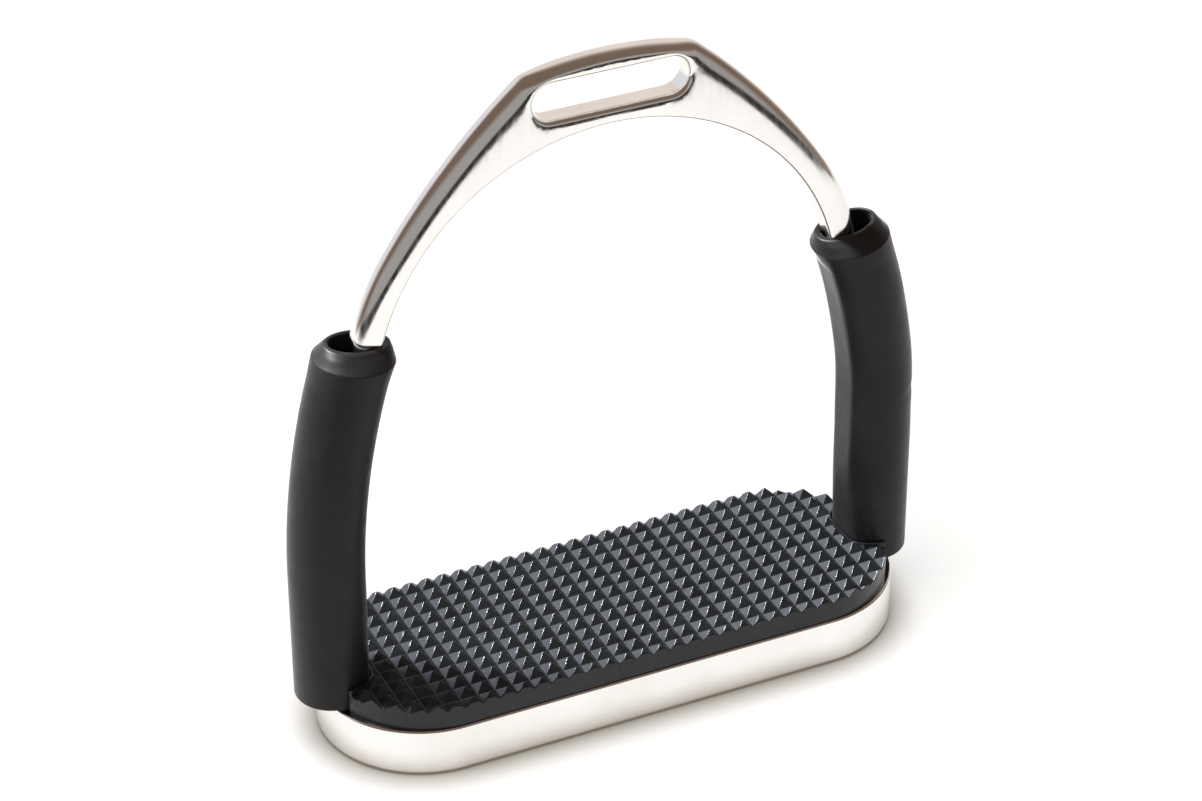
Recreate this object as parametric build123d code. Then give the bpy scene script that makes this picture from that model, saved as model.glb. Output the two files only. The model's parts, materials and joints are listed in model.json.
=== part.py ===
"""Jointed stirrup iron: rigid arch, studded rubber tread and two rubber-sleeved flexing branches.

Frame: origin at the middle of the base's underside, +X along the tread to the right branch,
+Y to the back, +Z up to the leather slot. All lengths are in millimetres.
"""
import os
from math import asin, cos, radians, sin, sqrt, tan

from build123d import *

os.makedirs("parts", exist_ok=True)

# ---------------------------------------------------------------- driving dimensions
STUD_PITCH = 4.36                     # one tread pyramid to the next
BASE_LENGTH, BASE_WIDTH = 148.2, 51.5
BASE_HEIGHT = 12.6
BASE_FLOOR = 5.0                      # thickness of the slotted floor
BASE_LOWER_ROUND, BASE_UPPER_ROUND = 1.4, 0.5
RECESS_LENGTH, RECESS_WIDTH = 124.0, 43.5
SLOT_COUNT, SLOT_SPACING = 8, 15.0    # slots across the floor that grip the tread
SLOT_LENGTH, SLOT_WIDTH = 32.0, 10.0
SLOT_CORNER = 2.0

TREAD_LENGTH, TREAD_WIDTH = 145.2, 50.2
TREAD_VALLEY = 17.4                   # height of the groove bottoms above the ground
STUD_HEIGHT = 1.7
STUD_FLAT = 0.3                       # small flat left on each pyramid's tip
TREAD_FIT = 0.1                       # gap between the tread's plug and its recess
TREAD_NOTCH = 0.4                     # gap between the tread and a sleeve
RIB_BOTTOM = 0.6                      # height of the tread's ribs above the ground

BRANCH_X = 71.0                       # middle of a sleeve at the tread
SLEEVE_R, SLEEVE_WALL = 9.2, 1.6
SLEEVE_BEND_START = 45.0              # height where the sleeve starts to lean inwards
SLEEVE_BEND_RADIUS = 190.0
SLEEVE_SECTIONS = (13.4, 24.0, 34.0, 45.0, 56.0, 67.0, 79.0, 91.0, 101.8)
LIP_TOP, LIP_R, MOUTH_R = 105.5, 7.7, 6.4    # the lip narrows above the last section
MOUTH_TILT = 9.0                      # slope of the lip, down towards the foot
COLLAR_WIDTH, COLLAR_TOP = 0.6, 19.4  # thin upstand of the tread round a sleeve

ARCH_THICK = 6.5                      # front to back
ARCH_TOP = 165.2
ARCH_CENTRE_Z = 89.8                  # centre of the arch's inner circle
ARCH_INNER_R = 58.0
LIMB_WIDTH = 7.2
CROWN_R, CROWN_TURN = 94.7, 12.0      # the four tangent arcs of the outer outline
CORNER_R, CORNER_TURN = 6.25, 28.0
SHOULDER_R, SHOULDER_TURN = 165.0, 17.0
LEG_ANGLE = 15.2                      # lean of the straight legs
OUTER_ROUND, INNER_ROUND, SLOT_ROUND = 2.9, 1.0, 1.2

LEATHER_SLOT_Z = 156.3
LEATHER_SLOT_LENGTH, LEATHER_SLOT_HEIGHT = 38.2, 9.2

PIVOT_X = 70.6                        # all four pivots turn about X
LOWER_PIVOT_Z, UPPER_PIVOT_Z = 32.0, 65.0
EYE_THICK, EYE_R = 3.5, 6.0
RIVET_R, RIVET_HEAD_R, RIVET_HEAD = 2.5, 4.0, 0.9
RUNNING_FIT = 0.05                    # radial clearance of the turning eyes
SEAT_FIT = 0.02                       # radial clearance where a rivet is closed in a plate
WASHER_THICK, WASHER_R = 0.45, 4.8
SIDE_GAP = 0.05                       # play each side of a washer
LINK_THICK, LINK_WIDTH = 1.4, 10.0
RIVET_EDGE = 0.6                      # rounded edge of a rivet's head

POST_ROOT_FIT = 0.25                  # gap between a post's root and the sleeve round it
POST_ROOT_TOP = 20.0
POST_BAR_THICK, POST_BAR_WIDTH = 7.0, 10.0
POST_BAR_TOP = 24.0                   # above this the post is as thin as its eye
NECK_WIDTH, NECK_LENGTH = 9.2, 11.0   # flat bar from the arch's eye up to its leg
TOE_LENGTH, TOE_LAP = 6.0, 1.0        # part of the neck that runs into the leg
TOE_STEP = 0.6                        # the toe's outer face lies this far inside the neck's
LEG_CUT = 8.5                         # a leg stops this far above its pivot

LINK_INNER_FACE = EYE_THICK / 2 + WASHER_THICK + 2 * SIDE_GAP
LIMB_MID_R = ARCH_INNER_R + LIMB_WIDTH / 2
LEAN = radians(LEG_ANGLE)


# ---------------------------------------------------------------- helpers
def stadium(length, width, bottom, top):
    """Upright block with half-round ends."""
    return Pos(0, 0, bottom) * extrude(SlotOverall(length, width), amount=top - bottom)


def disc_x(radius, x_low, x_high, z):
    """Round disc or pin lying along X on the branch's mid-plane."""
    face = Plane(origin=(x_low, 0, z), z_dir=(1, 0, 0)) * Circle(radius)
    return extrude(face, amount=x_high - x_low)


def block(x_low, x_high, width, z_low, z_high):
    """Box between two X values and two heights, centred on Y."""
    size = (x_high - x_low, width, z_high - z_low)
    return Pos((x_low + x_high) / 2, 0, (z_low + z_high) / 2) * Box(*size)


def cylinder(radius, z_low, z_high):
    """Upright cylinder round the right branch's middle."""
    return Pos(BRANCH_X, 0, z_low) * extrude(Circle(radius), amount=z_high - z_low)


def left_of(shape):
    """The left branch's copy of a right-hand shape."""
    return mirror(shape, about=Plane.YZ)


def save(node, shape):
    export_step(shape, f"parts/{node}.step")


# ---------------------------------------------------------------- base frame and posts
def branch_post():
    """Round root, short bar and eye that stand on the base and carry the right lower pivot."""
    root_plan = Pos(BRANCH_X, 0, BASE_HEIGHT) * Circle(SLEEVE_R - SLEEVE_WALL - POST_ROOT_FIT)
    root = extrude(root_plan, amount=POST_ROOT_TOP - BASE_HEIGHT)
    root &= stadium(BASE_LENGTH, BASE_WIDTH - 2 * BASE_UPPER_ROUND, 0, POST_ROOT_TOP)
    half = POST_BAR_THICK / 2
    bar = block(PIVOT_X - half, PIVOT_X + half, POST_BAR_WIDTH, BASE_HEIGHT, POST_BAR_TOP)
    x_low, x_high = PIVOT_X - EYE_THICK / 2, PIVOT_X + EYE_THICK / 2
    web = block(x_low, x_high, POST_BAR_WIDTH, BASE_HEIGHT, LOWER_PIVOT_Z)
    eye = disc_x(EYE_R, x_low, x_high, LOWER_PIVOT_Z)
    hole = disc_x(RIVET_R + RUNNING_FIT, x_low - 1, x_high + 1, LOWER_PIVOT_Z)
    return root + bar + web + eye - hole


def floor_slots(gap, bottom, top):
    """Row of cross slots, or of the ribs that fill them when gap is negative."""
    slots = Part()
    for i in range(SLOT_COUNT):
        x = (i - (SLOT_COUNT - 1) / 2) * SLOT_SPACING
        plan = Pos(x, 0) * RectangleRounded(SLOT_WIDTH + gap, SLOT_LENGTH + gap, SLOT_CORNER)
        slots += Pos(0, 0, bottom) * extrude(plan, amount=top - bottom)
    return slots


def base_frame():
    """Cast base: rim, recess and slotted floor."""
    frame = stadium(BASE_LENGTH, BASE_WIDTH, 0, BASE_HEIGHT)
    frame = fillet(frame.faces().sort_by(Axis.Z)[0].edges(), BASE_LOWER_ROUND)
    frame = fillet(frame.faces().sort_by(Axis.Z)[-1].edges(), BASE_UPPER_ROUND)
    frame -= stadium(RECESS_LENGTH, RECESS_WIDTH, BASE_FLOOR, BASE_HEIGHT + 1)
    return frame - floor_slots(0.0, -1.0, BASE_FLOOR + 1)


# ---------------------------------------------------------------- rubber tread
def groove_cutters():
    """V-shaped bars along and across the tread that leave a field of pyramids."""
    overshoot = 1.25                      # the cutters stand proud of the stud tips
    half_top = overshoot * (STUD_PITCH - STUD_FLAT) / 2
    rise = overshoot * STUD_HEIGHT
    vee = make_face(Polyline((-half_top, rise), (0, 0), (half_top, rise), close=True))
    rows = int(TREAD_WIDTH / 2 / STUD_PITCH) + 1
    columns = int(TREAD_LENGTH / 2 / STUD_PITCH) + 1
    along = extrude(Plane.YZ * vee, amount=TREAD_LENGTH, both=True)
    across = extrude(Plane.XZ * vee, amount=TREAD_WIDTH, both=True)
    bars = [Pos(0, i * STUD_PITCH, TREAD_VALLEY) * along for i in range(-rows, rows + 1)]
    bars += [Pos(i * STUD_PITCH, 0, TREAD_VALLEY) * across for i in range(-columns, columns + 1)]
    return bars


def tread_pad():
    """Studded rubber pad: cap over the rim, plug in the recess and ribs in the floor slots."""
    pad = stadium(TREAD_LENGTH, TREAD_WIDTH, BASE_HEIGHT, TREAD_VALLEY + STUD_HEIGHT)
    plug_length, plug_width = RECESS_LENGTH - 2 * TREAD_FIT, RECESS_WIDTH - 2 * TREAD_FIT
    pad += stadium(plug_length, plug_width, BASE_FLOOR, BASE_HEIGHT)
    pad += floor_slots(-2 * TREAD_FIT, RIB_BOTTOM, BASE_FLOOR)
    outline = stadium(TREAD_LENGTH, TREAD_WIDTH, BASE_HEIGHT, COLLAR_TOP)
    notch_r = SLEEVE_R + TREAD_NOTCH
    collar = cylinder(notch_r + COLLAR_WIDTH, TREAD_VALLEY - 1, COLLAR_TOP) & outline
    notch = cylinder(notch_r, BASE_HEIGHT - 1, COLLAR_TOP + 1)
    pad = pad - groove_cutters() + collar + left_of(collar)
    return pad - notch - left_of(notch)


# ---------------------------------------------------------------- rubber sleeves
def sleeve_section(z, radius):
    """Round section of the right sleeve at a height, tilted part of the way with its bend."""
    above = max(0.0, z - SLEEVE_BEND_START)
    lean = asin(above / SLEEVE_BEND_RADIUS)
    tilt = radians(MOUTH_TILT) * above / (LIP_TOP - SLEEVE_BEND_START)
    x = BRANCH_X - SLEEVE_BEND_RADIUS * (1 - cos(lean))
    across, along = (cos(tilt), 0, sin(tilt)), (-sin(tilt), 0, cos(tilt))
    plane = Plane(origin=(x, 0, z), x_dir=across, z_dir=along)
    return plane * Ellipse(radius / cos(lean - tilt), radius)


def sleeve_loft(radius):
    """Round bar that follows the right sleeve up to its lip."""
    return loft([sleeve_section(z, radius) for z in SLEEVE_SECTIONS])


def rubber_sleeve():
    """Right sleeve: round tube with a chamfered lip round its open upper mouth."""
    lip_bottom = SLEEVE_SECTIONS[-1]
    lip = loft([sleeve_section(lip_bottom, SLEEVE_R), sleeve_section(LIP_TOP, LIP_R)])
    mouth = loft([sleeve_section(lip_bottom - 1, MOUTH_R), sleeve_section(LIP_TOP + 1, MOUTH_R)])
    return sleeve_loft(SLEEVE_R) + lip - sleeve_loft(SLEEVE_R - SLEEVE_WALL) - mouth


# ---------------------------------------------------------------- arch
def arch_outline():
    """Front view of the arch and its two straight legs, without the leather slot."""
    outward = Vector(cos(LEAN), sin(LEAN))
    down = Vector(sin(LEAN), -cos(LEAN))
    centre = Vector(0, ARCH_CENTRE_Z)
    leg_length = (PIVOT_X - LIMB_MID_R * cos(LEAN)) / sin(LEAN) - LEG_CUT
    inner_start = centre + outward * ARCH_INNER_R
    outer_start = centre + outward * (ARCH_INNER_R + LIMB_WIDTH)
    inner_end = inner_start + down * leg_length
    outer_end = outer_start + down * leg_length

    crown = JernArc((0, ARCH_TOP), (1, 0), CROWN_R, -CROWN_TURN)
    corner = JernArc(crown @ 1, crown % 1, CORNER_R, -CORNER_TURN)
    shoulder = JernArc(corner @ 1, corner % 1, SHOULDER_R, -SHOULDER_TURN)
    limb = TangentArc(shoulder @ 1, outer_start, tangent=shoulder % 1)
    leg_outer = Line(outer_start, outer_end)
    leg_end = Line(outer_end, inner_end)
    leg_inner = Line(inner_end, inner_start)
    half = [crown, corner, shoulder, limb, leg_outer, leg_end, leg_inner]
    other = [mirror(e, about=Plane.YZ) for e in half]
    top = Vector(0, ARCH_CENTRE_Z + ARCH_INNER_R)
    inner = ThreePointArc(inner_start, top, Vector(-inner_start.X, inner_start.Y))
    return make_face(Wire([e.edge() for e in half + other + [inner]]))


def limb_offset(point):
    """How far a point lies outside the middle line of the limb; negative is towards the foot."""
    x, z = abs(point.X), point.Z - ARCH_CENTRE_Z
    if z > x * tan(LEAN):
        return sqrt(x * x + z * z) - LIMB_MID_R
    return x * cos(LEAN) + z * sin(LEAN) - LIMB_MID_R


def arch_edges(plate):
    """Edges round the front and back faces, as (outer side, inner side, leather slot)."""
    outer, inner, slot = [], [], []
    for edge in plate.edges():
        middle = edge @ 0.5
        x, z = abs(middle.X), abs(middle.Z - LEATHER_SLOT_Z)
        offset = limb_offset(middle)
        if abs(middle.Y) < ARCH_THICK / 2 - 0.01:
            continue
        if x < LEATHER_SLOT_LENGTH / 2 + 0.1 and z < LEATHER_SLOT_HEIGHT / 2 + 0.1:
            slot.append(edge)
        elif offset > LIMB_WIDTH / 4:
            outer.append(edge)
        elif offset < -LIMB_WIDTH / 2 + 0.1:
            inner.append(edge)
    return outer, inner, slot


def arch_eye():
    """Flat eye at the foot of the right leg, for the upper pivot."""
    x_low, x_high = PIVOT_X - EYE_THICK / 2, PIVOT_X + EYE_THICK / 2
    eye = disc_x(EYE_R, x_low, x_high, UPPER_PIVOT_Z)
    neck_top = UPPER_PIVOT_Z + NECK_LENGTH
    neck = block(x_low, x_high, NECK_WIDTH, UPPER_PIVOT_Z, neck_top)
    toe = block(x_low, x_high - TOE_STEP, ARCH_THICK, neck_top - TOE_LAP, neck_top + TOE_LENGTH - TOE_LAP)
    return eye + neck + toe


def arch():
    """Polished arch with rounded outer side, obround leather slot and an eye on each leg."""
    plate = extrude(Plane.XZ * arch_outline(), amount=ARCH_THICK / 2, both=True)
    slot_plan = Pos(0, LEATHER_SLOT_Z) * SlotOverall(LEATHER_SLOT_LENGTH, LEATHER_SLOT_HEIGHT)
    plate -= extrude(Plane.XZ * slot_plan, amount=ARCH_THICK, both=True)
    plate = fillet(arch_edges(plate)[0], OUTER_ROUND)
    plate = fillet(arch_edges(plate)[1], INNER_ROUND)
    plate = fillet(arch_edges(plate)[2], SLOT_ROUND)
    eye = arch_eye()
    hole = disc_x(RIVET_R + RUNNING_FIT, PIVOT_X - EYE_THICK, PIVOT_X + EYE_THICK, UPPER_PIVOT_Z)
    return plate + eye + left_of(eye) - hole - left_of(hole)


# ---------------------------------------------------------------- links, rivets and washers
def link_plate(side):
    """One flat link of the right branch; side is -1 towards the foot and +1 outside."""
    face_near = PIVOT_X + side * LINK_INNER_FACE
    face_far = PIVOT_X + side * (LINK_INNER_FACE + LINK_THICK)
    x_low, x_high = min(face_near, face_far), max(face_near, face_far)
    plan = SlotCenterToCenter(UPPER_PIVOT_Z - LOWER_PIVOT_Z, LINK_WIDTH, rotation=90)
    mid_z = (UPPER_PIVOT_Z + LOWER_PIVOT_Z) / 2
    plane = Plane(origin=(x_low, 0, mid_z), x_dir=(0, 1, 0), z_dir=(1, 0, 0))
    plate = extrude(plane * plan, amount=x_high - x_low)
    for z in (LOWER_PIVOT_Z, UPPER_PIVOT_Z):
        plate -= disc_x(RIVET_R + SEAT_FIT, x_low - 1, x_high + 1, z)
    return plate


def rivet(z):
    """Headed pin closed over both link plates."""
    reach = LINK_INNER_FACE + LINK_THICK
    pin = disc_x(RIVET_R, PIVOT_X - reach, PIVOT_X + reach, z)
    for x_low, x_high in ((-reach - RIVET_HEAD, -reach), (reach, reach + RIVET_HEAD)):
        pin += disc_x(RIVET_HEAD_R, PIVOT_X + x_low, PIVOT_X + x_high, z)
    rims = [f for f in pin.faces() if abs(f.center().X - PIVOT_X) > reach + RIVET_HEAD - 0.01]
    return fillet([e for f in rims for e in f.edges()], RIVET_EDGE)


def washer_pair(z):
    """Two thin washers, one each side of an eye."""
    pair = []
    for side in (-1, 1):
        middle = PIVOT_X + side * (EYE_THICK / 2 + SIDE_GAP + WASHER_THICK / 2)
        low, high = middle - WASHER_THICK / 2, middle + WASHER_THICK / 2
        hole = disc_x(RIVET_R + RUNNING_FIT, low - 1, high + 1, z)
        pair.append(disc_x(WASHER_R, low, high, z) - hole)
    return Compound(children=pair)


def branch_parts():
    """Every piece of the right branch, by its name without the side."""
    return {
        "post": branch_post(),
        "sleeve": rubber_sleeve(),
        "inner_link": link_plate(-1),
        "outer_link": link_plate(1),
        "lower_rivet": rivet(LOWER_PIVOT_Z),
        "upper_rivet": rivet(UPPER_PIVOT_Z),
        "lower_washers": washer_pair(LOWER_PIVOT_Z),
        "upper_washers": washer_pair(UPPER_PIVOT_Z),
    }


# ---------------------------------------------------------------- write the nodes
save("base_frame", base_frame())
save("tread_pad", tread_pad())
save("arch", arch())
for name, shape in branch_parts().items():
    save(f"right_{name}", shape)
    save(f"left_{name}", left_of(shape))
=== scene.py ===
"""Looks of the jointed stirrup iron: polished arch and base, rubber sleeves, studded rubber tread.

Lengths are in metres, in the row frame: +X to the right branch, +Y to the back, +Z up.
"""
import json
from math import asin, cos, pi, radians, sin

import bmesh
import bpy
import numpy as np
from mathutils import Matrix, Vector
from mathutils.geometry import delaunay_2d_cdt

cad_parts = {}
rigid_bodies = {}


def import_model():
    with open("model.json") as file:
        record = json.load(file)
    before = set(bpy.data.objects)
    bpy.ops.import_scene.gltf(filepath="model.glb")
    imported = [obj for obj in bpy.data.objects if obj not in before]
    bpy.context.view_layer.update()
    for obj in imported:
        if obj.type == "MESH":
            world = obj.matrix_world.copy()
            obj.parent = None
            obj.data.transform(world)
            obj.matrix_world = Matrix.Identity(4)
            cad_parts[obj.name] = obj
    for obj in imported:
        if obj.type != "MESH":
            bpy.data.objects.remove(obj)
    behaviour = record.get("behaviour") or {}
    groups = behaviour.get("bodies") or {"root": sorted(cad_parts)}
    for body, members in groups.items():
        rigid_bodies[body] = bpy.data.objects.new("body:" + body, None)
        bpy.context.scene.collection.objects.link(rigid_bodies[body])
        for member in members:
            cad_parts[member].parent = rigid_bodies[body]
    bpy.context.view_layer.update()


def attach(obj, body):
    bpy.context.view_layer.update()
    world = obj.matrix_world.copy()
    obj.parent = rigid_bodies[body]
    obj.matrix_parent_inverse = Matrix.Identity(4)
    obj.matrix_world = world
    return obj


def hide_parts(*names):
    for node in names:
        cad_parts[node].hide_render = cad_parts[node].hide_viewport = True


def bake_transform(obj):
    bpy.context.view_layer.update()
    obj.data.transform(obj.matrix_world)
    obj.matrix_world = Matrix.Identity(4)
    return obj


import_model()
MM = 0.001
WELD = 2e-7                            # points closer than this are one, in metres


# ---------------------------------------------------------------- mesh helpers
def new_object(name, verts, faces):
    """Smooth-shaded mesh object from points and faces, welded, with its normals outwards."""
    mesh = bpy.data.meshes.new(name)
    mesh.from_pydata([tuple(v) for v in verts], [], faces)
    bm = bmesh.new()
    bm.from_mesh(mesh)
    bmesh.ops.remove_doubles(bm, verts=bm.verts, dist=WELD)
    bmesh.ops.recalc_face_normals(bm, faces=bm.faces)
    bm.to_mesh(mesh)
    bm.free()
    for poly in mesh.polygons:
        poly.use_smooth = True
    obj = bpy.data.objects.new(name, mesh)
    bpy.context.scene.collection.objects.link(obj)
    return obj


def smoothstep(low, high, x):
    """Smooth rise from 0 at low to 1 at high."""
    t = np.clip((x - low) / (high - low), 0.0, 1.0)
    return t * t * (3 - 2 * t)


def band(count, base_a, base_b):
    """Quads between two closed loops of count points that start at base_a and base_b."""
    return [(base_a + i, base_a + (i + 1) % count, base_b + (i + 1) % count, base_b + i)
            for i in range(count)]


def inside(points, loop):
    """Even-odd test of many 2-D points against one closed loop."""
    x, y = points[:, 0], points[:, 1]
    result = np.zeros(len(points), bool)
    ax, ay = loop[:, 0], loop[:, 1]
    bx, by = np.roll(ax, -1), np.roll(ay, -1)
    for x0, y0, x1, y1 in zip(ax, ay, bx, by):
        crosses = (y0 > y) != (y1 > y)
        if crosses.any():
            at = x0 + (y - y0) * (x1 - x0) / (y1 - y0 if y1 != y0 else 1e-12)
            result ^= crosses & (x < at)
    return result


def triangulate(loops, extra, segments=()):
    """Constrained triangles between closed loops; returns the points and the kept triangles.

    The first loop is the outside and the others are holes; extra holds inner points and
    segments holds pairs of end points of inner lines. All in millimetres.
    """
    points, edges = [], []
    for loop in loops:
        start, count = len(points), len(loop)
        points += [tuple(p) for p in loop]
        edges += [(start + i, start + (i + 1) % count) for i in range(count)]
    for a, b in segments:
        edges.append((len(points), len(points) + 1))
        points += [tuple(a), tuple(b)]
    points += [tuple(p) for p in extra]
    result = delaunay_2d_cdt([Vector(p) for p in points], edges, [], 0, 1e-5)
    xy = np.array([tuple(p) for p in result[0]])
    triangles = np.array([tuple(t) for t in result[2]])
    middle = xy[triangles].mean(axis=1)
    keep = inside(middle, np.array(loops[0]))
    for hole in loops[1:]:
        keep &= ~inside(middle, np.array(hole))
    return xy, triangles[keep]


def prism(name, outline, holes, low, high, edge, axis="Z"):
    """Flat part with rounded edges, cut along an axis; outline and holes in millimetres."""
    verts, faces = [], []
    loops = [np.array(outline, float)] + [np.array(h, float) for h in holes]
    steps = np.linspace(0, pi / 2, 5)
    ends = {}
    for sign, level in ((-1, low), (1, high)):
        for number, loop in enumerate(loops):
            outward = loop_normals(loop) * (1 if number == 0 else -1)
            firsts = []
            for t in steps:
                firsts.append(len(verts))
                flat = loop - outward * edge * (1 - cos(t))
                height = level - sign * edge * (1 - sin(t))
                verts.extend((p[0], p[1], height) for p in flat)
            for a, b in zip(firsts, firsts[1:]):
                faces += band(len(loop), a, b)
            ends[sign, number] = firsts[0]
        inset = [loop - loop_normals(loop) * edge * (1 if number == 0 else -1)
                 for number, loop in enumerate(loops)]
        xy, triangles = triangulate(inset, [])
        first = len(verts)
        verts.extend((p[0], p[1], level) for p in xy)
        faces += [tuple(first + i for i in t) for t in triangles]
    for number, loop in enumerate(loops):
        faces += band(len(loop), ends[-1, number], ends[1, number])
    if axis == "X":
        verts = [(z, x, y) for x, y, z in verts]
    return new_object(name, [Vector(v) * MM for v in verts], faces)


def loop_normals(loop):
    """Outward unit normals of a closed loop, whichever way it runs."""
    tangent = np.roll(loop, -1, axis=0) - np.roll(loop, 1, axis=0)
    tangent /= np.linalg.norm(tangent, axis=1)[:, None]
    normal = np.stack([tangent[:, 1], -tangent[:, 0]], axis=1)
    area = np.sum(loop[:, 0] * np.roll(loop[:, 1], -1) - np.roll(loop[:, 0], -1) * loop[:, 1])
    return normal if area > 0 else -normal


def stadium_loop(length, width, step):
    """Closed outline with half-round ends, anticlockwise from the right end of the front side."""
    r, half = width / 2, (length - width) / 2
    around = int(pi * r / step)
    along = int(2 * half / (2 * step))
    right = [(half + r * cos(a), r * sin(a)) for a in np.linspace(-pi / 2, pi / 2, around + 1)]
    back = [(half - 2 * half * i / along, r) for i in range(1, along)]
    return np.array(right + back + [(-x, -y) for x, y in right] + [(-x, -y) for x, y in back])


def weigh_normals(obj, angle):
    """Keeps flat faces flat in shading: edges sharper than angle split, big faces lead."""
    obj.data.set_sharp_from_angle(angle=radians(angle))
    modifier = obj.modifiers.new("Weighted normals", "WEIGHTED_NORMAL")
    modifier.mode = "FACE_AREA"
    modifier.keep_sharp = True


# ---------------------------------------------------------------- arch
ARCH_HALF = 3.15                       # half the thickness, front to back, in millimetres
FACE_CROWN, CROWN_RUN = 0.10, 1.5      # the polished faces swell by this much, this near the edge
ARCH_TOP, CENTRE_Z, INNER_R, LIMB = 165.18, 89.8, 58.0, 7.2
LEAN = radians(15.2)
FOOT_Z = 74.4                          # where the plain leg ends inside the sleeve
SLOT_Z, SLOT_HALF, SLOT_R = 156.3, 14.5, 4.6
PIVOT_X, UPPER_Z, EYE_R = 70.6, 65.0, 6.0
ROUND_STEPS, ROUND_END = 12, radians(85)  # the rounding ends on the slope where the crown starts
# Radius and turn of the outer outline's arcs, from the crown over the shoulder to the limb.
OUTER_ARCS = (94.7, radians(12)), (6.25, radians(28)), (165.0, radians(17))
OUTLINE_STEP, LEG_STEP, INNER_STEP = 0.7, 0.9, 0.8
# How far the roundings run over the faces, and what the limbs and the legs' feet add to that.
OUTER_REACH, LIMB_REACH, OUTER_FOOT_REACH = 1.8, 2.7, 1.9
INNER_REACH, INNER_FOOT_REACH, SLOT_REACH = 0.9, 0.4, 1.1
OUTER_RISE, INNER_RISE, SLOT_RISE = 2.95, 1.2, 1.3  # how far they run down the side walls
SLOT_POINTS = 132
FACE_GRID, FACE_ROWS, EDGE_GAP = 0.9, 0.78, 0.45    # spacing of the points inside the faces
EYE_HALF, EYE_HOLE_R, EYE_EDGE = 1.75, 2.55, 0.2
# Half width and height above the pivot of the points up the eye's neck.
EYE_NECK = (4.6, 9.6), (4.2, 10.6), (3.0, 11.2), (3.0, 15.5)


def walk(start, heading, arcs, step):
    """Points and headings along tangent arcs, each a (radius, turn) pair; turns go clockwise."""
    path, at = [], np.array(start, float)
    for radius, turn in arcs:
        count = max(4, int(radius * turn / step))
        centre = at + radius * np.array([sin(heading), -cos(heading)])
        for i in range(count):
            a = heading - turn * i / count
            path.append((*(centre + radius * np.array([-sin(a), cos(a)])), a))
        heading -= turn
        at = centre + radius * np.array([-sin(heading), cos(heading)])
    return path, at, heading


def outer_side():
    """Right half of the outer outline from the crown to the foot, as x, z and heading."""
    path, at, heading = walk((0, ARCH_TOP), 0.0, OUTER_ARCS, OUTLINE_STEP)
    goal = np.array([(INNER_R + LIMB) * cos(LEAN), CENTRE_Z + (INNER_R + LIMB) * sin(LEAN)])
    chord = goal - at
    turn = 2 * (heading - np.arctan2(chord[1], chord[0]))       # one arc reaches the leg's start
    radius = np.hypot(*chord) / (2 * sin(turn / 2))
    limb, at, heading = walk(at, heading, [(radius, turn)], OUTLINE_STEP)
    end = LEAN - pi / 2
    length = (goal[1] - FOOT_Z) / cos(LEAN)
    count = int(length / LEG_STEP)
    for i in range(count + 1):
        share = i / count
        point = goal + np.array([sin(LEAN), -cos(LEAN)]) * length * share
        limb.append((*point, heading + (end - heading) * smoothstep(0, 0.2, share)))
    return np.array(path + limb)


def inner_side():
    """Right half of the inner outline from the crown to the foot, as x, z and normal angle."""
    count = int(INNER_R * (pi / 2 - LEAN) / INNER_STEP)
    arc = [(INNER_R * cos(a), CENTRE_Z + INNER_R * sin(a), a)
           for a in np.linspace(pi / 2, LEAN, count)]
    top = np.array(arc[-1][:2])
    length = (top[1] - FOOT_Z) / cos(LEAN)
    count = int(length / LEG_STEP)
    for i in range(1, count + 1):
        arc.append((*(top + np.array([sin(LEAN), -cos(LEAN)]) * length * i / count), LEAN))
    return np.array(arc)


def arch_outlines():
    """Outlines of the arch and its slot.

    Returns the arch's points, outward normals, and reach and rise of its rounding, then the
    slot's points and outward normals.
    """
    half = outer_side()
    outer = np.vstack([half[1:][::-1] * np.array([-1, 1, -1]), half])
    outer_out = np.stack([-np.sin(outer[:, 2]), np.cos(outer[:, 2])], axis=1)
    x = np.abs(outer[:, 0])
    foot = smoothstep(50.0, 62.0, x)
    limb = smoothstep(14.0, 26.0, x) * (1 - foot)
    reach = OUTER_REACH + LIMB_REACH * limb + OUTER_FOOT_REACH * foot

    half = inner_side()
    left = half[1:][::-1].copy()
    left[:, 0] *= -1
    left[:, 2] = pi - left[:, 2]
    inner = np.vstack([left, half])[::-1]
    inner_out = -np.stack([np.cos(inner[:, 2]), np.sin(inner[:, 2])], axis=1)
    foot = smoothstep(52.0, 60.0, np.abs(inner[:, 0]))
    inner_reach = INNER_REACH + INNER_FOOT_REACH * foot

    loop = np.vstack([outer[:, :2], inner[:, :2]])
    out = np.vstack([outer_out, inner_out])
    reach = np.concatenate([reach, inner_reach])
    rise = np.concatenate([np.full(len(outer), OUTER_RISE), np.full(len(inner), INNER_RISE)])

    turn = np.linspace(0, 2 * pi, SLOT_POINTS, endpoint=False)
    slot_out = -np.stack([np.cos(turn), np.sin(turn)], axis=1)
    slot = -SLOT_R * slot_out
    slot[:, 0] += np.where(np.cos(turn) > 1e-9, SLOT_HALF, -SLOT_HALF)
    slot[:, 1] += SLOT_Z
    return loop, out, reach, rise, slot, slot_out


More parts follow.
